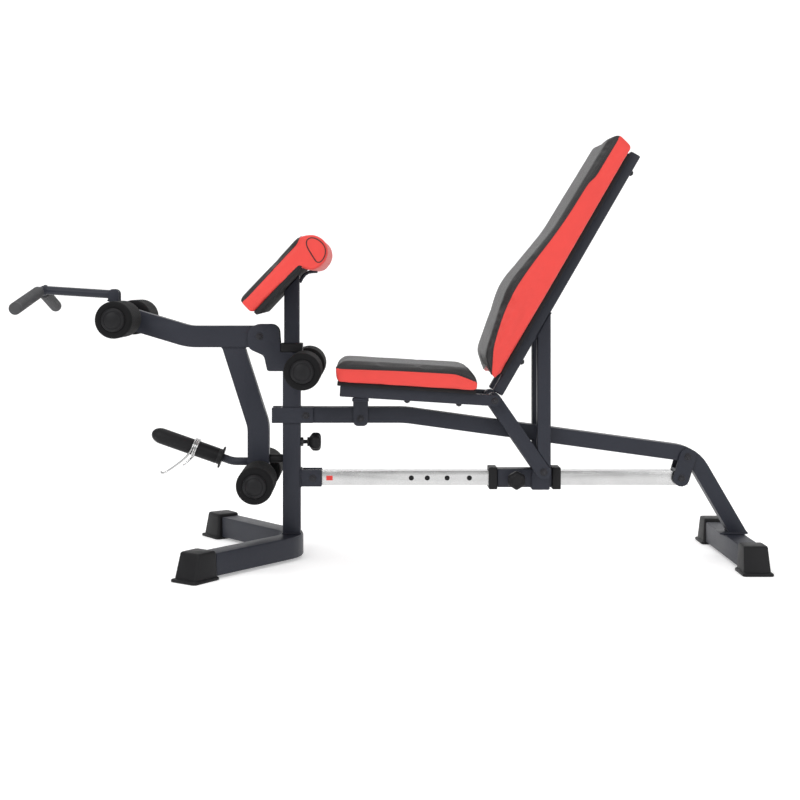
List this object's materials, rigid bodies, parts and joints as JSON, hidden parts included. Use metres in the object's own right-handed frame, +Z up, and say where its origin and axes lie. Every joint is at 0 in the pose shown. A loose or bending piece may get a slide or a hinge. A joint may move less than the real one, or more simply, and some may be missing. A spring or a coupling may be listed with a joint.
{
  "type": "adjustable weight bench",
  "caption": "Adjustable weight bench with a reclining backrest on a chrome slide rail, a preacher pad, a leg lever with foam rollers, a plate holder and a folding curl handle.",
  "frame": {"origin": "on the floor under the middle of the bench's length, halfway between its sides", "axes": "+X to the rear, where the backrest is; +Y to the left side; +Z up"},
  "size_m": [1.6829, 0.6462, 0.983],
  "materials": {
    "powder_coat": "satin dark slate grey powder coat",
    "chrome": "bright chrome plate",
    "zinc_steel": "dark zinc plate",
    "red_vinyl": "red and black leatherette over foam",
    "pad_board": "black-backed board",
    "foam": "matt closed-cell foam",
    "grip_rubber": "textured grip",
    "black_plastic": "moulded black plastic"
  },
  "bodies": {
    "frame": {"front_foot_tube": "powder_coat", "front_foot_cap_near": "black_plastic", "front_foot_cap_far": "black_plastic", "rear_foot_tube": "powder_coat", "rear_foot_cap_near": "black_plastic", "rear_foot_cap_far": "black_plastic", "upright_post": "powder_coat", "post_collar": "black_plastic", "lever_hanger": "powder_coat", "lever_pivot_bolt": "zinc_steel", "main_beam": "powder_coat", "beam_bracket": "powder_coat", "slide_rail": "chrome", "rail_front_bracket": "powder_coat", "rail_rear_bracket": "powder_coat", "upright_axle": "black_plastic"},
    "seat": {"seat_rail_near": "powder_coat", "seat_rail_far": "powder_coat", "seat_front_bracket": "powder_coat", "seat_pivot_bolt": "zinc_steel", "back_pivot_bolt": "zinc_steel", "seat_board": "pad_board", "seat_pad": "red_vinyl"},
    "backrest": {"back_rail_near": "powder_coat", "back_rail_far": "powder_coat", "back_post_near": "powder_coat", "back_post_far": "powder_coat", "back_link_near": "powder_coat", "back_link_far": "powder_coat", "link_bolt_near": "zinc_steel", "link_bolt_far": "zinc_steel", "back_board": "pad_board", "back_pad": "red_vinyl"},
    "carriage": {"carriage_sleeve": "powder_coat", "carriage_bushing_front": "black_plastic", "carriage_bushing_rear": "black_plastic", "carriage_bracket": "powder_coat"},
    "carriage_pin": {"carriage_pin": "black_plastic"},
    "preacher": {"preacher_post": "powder_coat", "preacher_board": "pad_board", "preacher_pad": "red_vinyl"},
    "post_pin": {"post_pin": "black_plastic"},
    "lever": {"lever_arm": "powder_coat", "lever_leg": "powder_coat", "lever_stop": "black_plastic", "lever_top_axle": "black_plastic", "lever_low_axle": "black_plastic", "curl_bracket": "powder_coat", "plate_holder_rod": "powder_coat", "plate_holder_sleeve": "black_plastic"},
    "curl": {"curl_bar": "powder_coat", "curl_grip_near": "grip_rubber", "curl_grip_far": "grip_rubber"},
    "clip": {"spring_clip": "chrome"},
    "upright_roller_near": {"upright_roller_near": "foam"},
    "upright_roller_far": {"upright_roller_far": "foam"},
    "top_roller_near": {"top_roller_near": "foam"},
    "top_roller_far": {"top_roller_far": "foam"},
    "low_roller_near": {"low_roller_near": "foam"},
    "low_roller_far": {"low_roller_far": "foam"}
  },
  "joints": [
    {"name": "seat_tilt", "type": "hinge", "parent": "frame", "child": "seat", "pos_m": [-0.0655, 0, 0.3264], "axis": [0, 1, 0], "range_deg": [0, 1.89]},
    {"name": "backrest_recline", "type": "hinge", "parent": "seat", "child": "backrest", "pos_m": [0.2419, 0, 0.3732], "axis": [0, 1, 0], "range_deg": [0, 72.12]},
    {"name": "carriage_slide", "type": "slide", "parent": "frame", "child": "carriage", "axis": [-1, 0, 0], "range_m": [0, 0.24202]},
    {"name": "carriage_pin_pull", "type": "slide", "parent": "carriage", "child": "carriage_pin", "axis": [0, -1, 0], "range_m": [0, 0.01], "stiffness_N_per_m": 500, "springref_m": -0.004},
    {"name": "preacher_height", "type": "slide", "parent": "frame", "child": "preacher", "axis": [0, 0, 1], "range_m": [0, 0.12]},
    {"name": "post_pin_pull", "type": "slide", "parent": "frame", "child": "post_pin", "axis": [1, 0, 0], "range_m": [0, 0.01], "stiffness_N_per_m": 500, "springref_m": -0.004},
    {"name": "lever_swing", "type": "hinge", "parent": "frame", "child": "lever", "pos_m": [-0.3012, 0, 0.5182], "axis": [0, 1, 0], "range_deg": [0, 38]},
    {"name": "curl_fold", "type": "hinge", "parent": "lever", "child": "curl", "pos_m": [-0.6439, 0, 0.6157], "axis": [0, 1, 0], "range_deg": [0, 100]},
    {"name": "clip_slide", "type": "slide", "parent": "lever", "child": "clip", "axis": [-0.9432, 0, 0.3322], "range_m": [0, 0.085]},
    {"name": "upright_roller_near_spin", "type": "hinge", "parent": "frame", "child": "upright_roller_near", "pos_m": [-0.1936, -0.132, 0.446], "axis": [0, 1, 0], "continuous": true},
    {"name": "upright_roller_far_spin", "type": "hinge", "parent": "frame", "child": "upright_roller_far", "pos_m": [-0.1936, 0.132, 0.446], "axis": [0, 1, 0], "continuous": true},
    {"name": "top_roller_near_spin", "type": "hinge", "parent": "lever", "child": "top_roller_near", "pos_m": [-0.6109, -0.132, 0.5605], "axis": [0, 1, 0], "continuous": true},
    {"name": "top_roller_far_spin", "type": "hinge", "parent": "lever", "child": "top_roller_far", "pos_m": [-0.6109, 0.132, 0.5605], "axis": [0, 1, 0], "continuous": true},
    {"name": "low_roller_near_spin", "type": "hinge", "parent": "lever", "child": "low_roller_near", "pos_m": [-0.2991, -0.132, 0.193], "axis": [0, 1, 0], "continuous": true},
    {"name": "low_roller_far_spin", "type": "hinge", "parent": "lever", "child": "low_roller_far", "pos_m": [-0.2991, 0.132, 0.193], "axis": [0, 1, 0], "continuous": true}
  ],
  "couplings": [
    {"joint": "seat_tilt", "follows": "backrest_recline", "ratio": 0.026002},
    {"joint": "carriage_slide", "follows": "backrest_recline", "m_per_rad": 0.1921}
  ]
}
